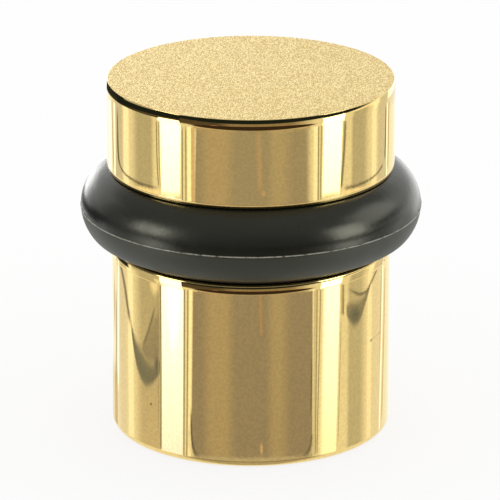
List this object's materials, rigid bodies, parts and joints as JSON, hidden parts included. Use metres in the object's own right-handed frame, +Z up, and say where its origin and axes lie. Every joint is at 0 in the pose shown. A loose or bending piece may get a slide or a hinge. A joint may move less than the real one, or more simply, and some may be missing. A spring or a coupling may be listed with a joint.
{
  "type": "cylindrical door stop",
  "caption": "Cylindrical floor door stop: a turned brass base and screw-on brass cap clamping a fat round rubber bumper ring that meets the door.",
  "frame": {"origin": "middle of the flat underside, on the axis of the stop", "axes": "+Z up along the axis of the stop, away from the floor; X and Y are any two level directions, because the stop is round"},
  "size_m": [0.0476, 0.0476, 0.0504],
  "materials": {
    "brass": "turned and polished, a little hazed on the top face",
    "rubber": "moulded, semi-gloss black, with a ragged line of flash at the parting line"
  },
  "bodies": {
    "root": {"base": "brass", "cap": "brass", "bumper_ring": "rubber"}
  },
  "joints": []
}
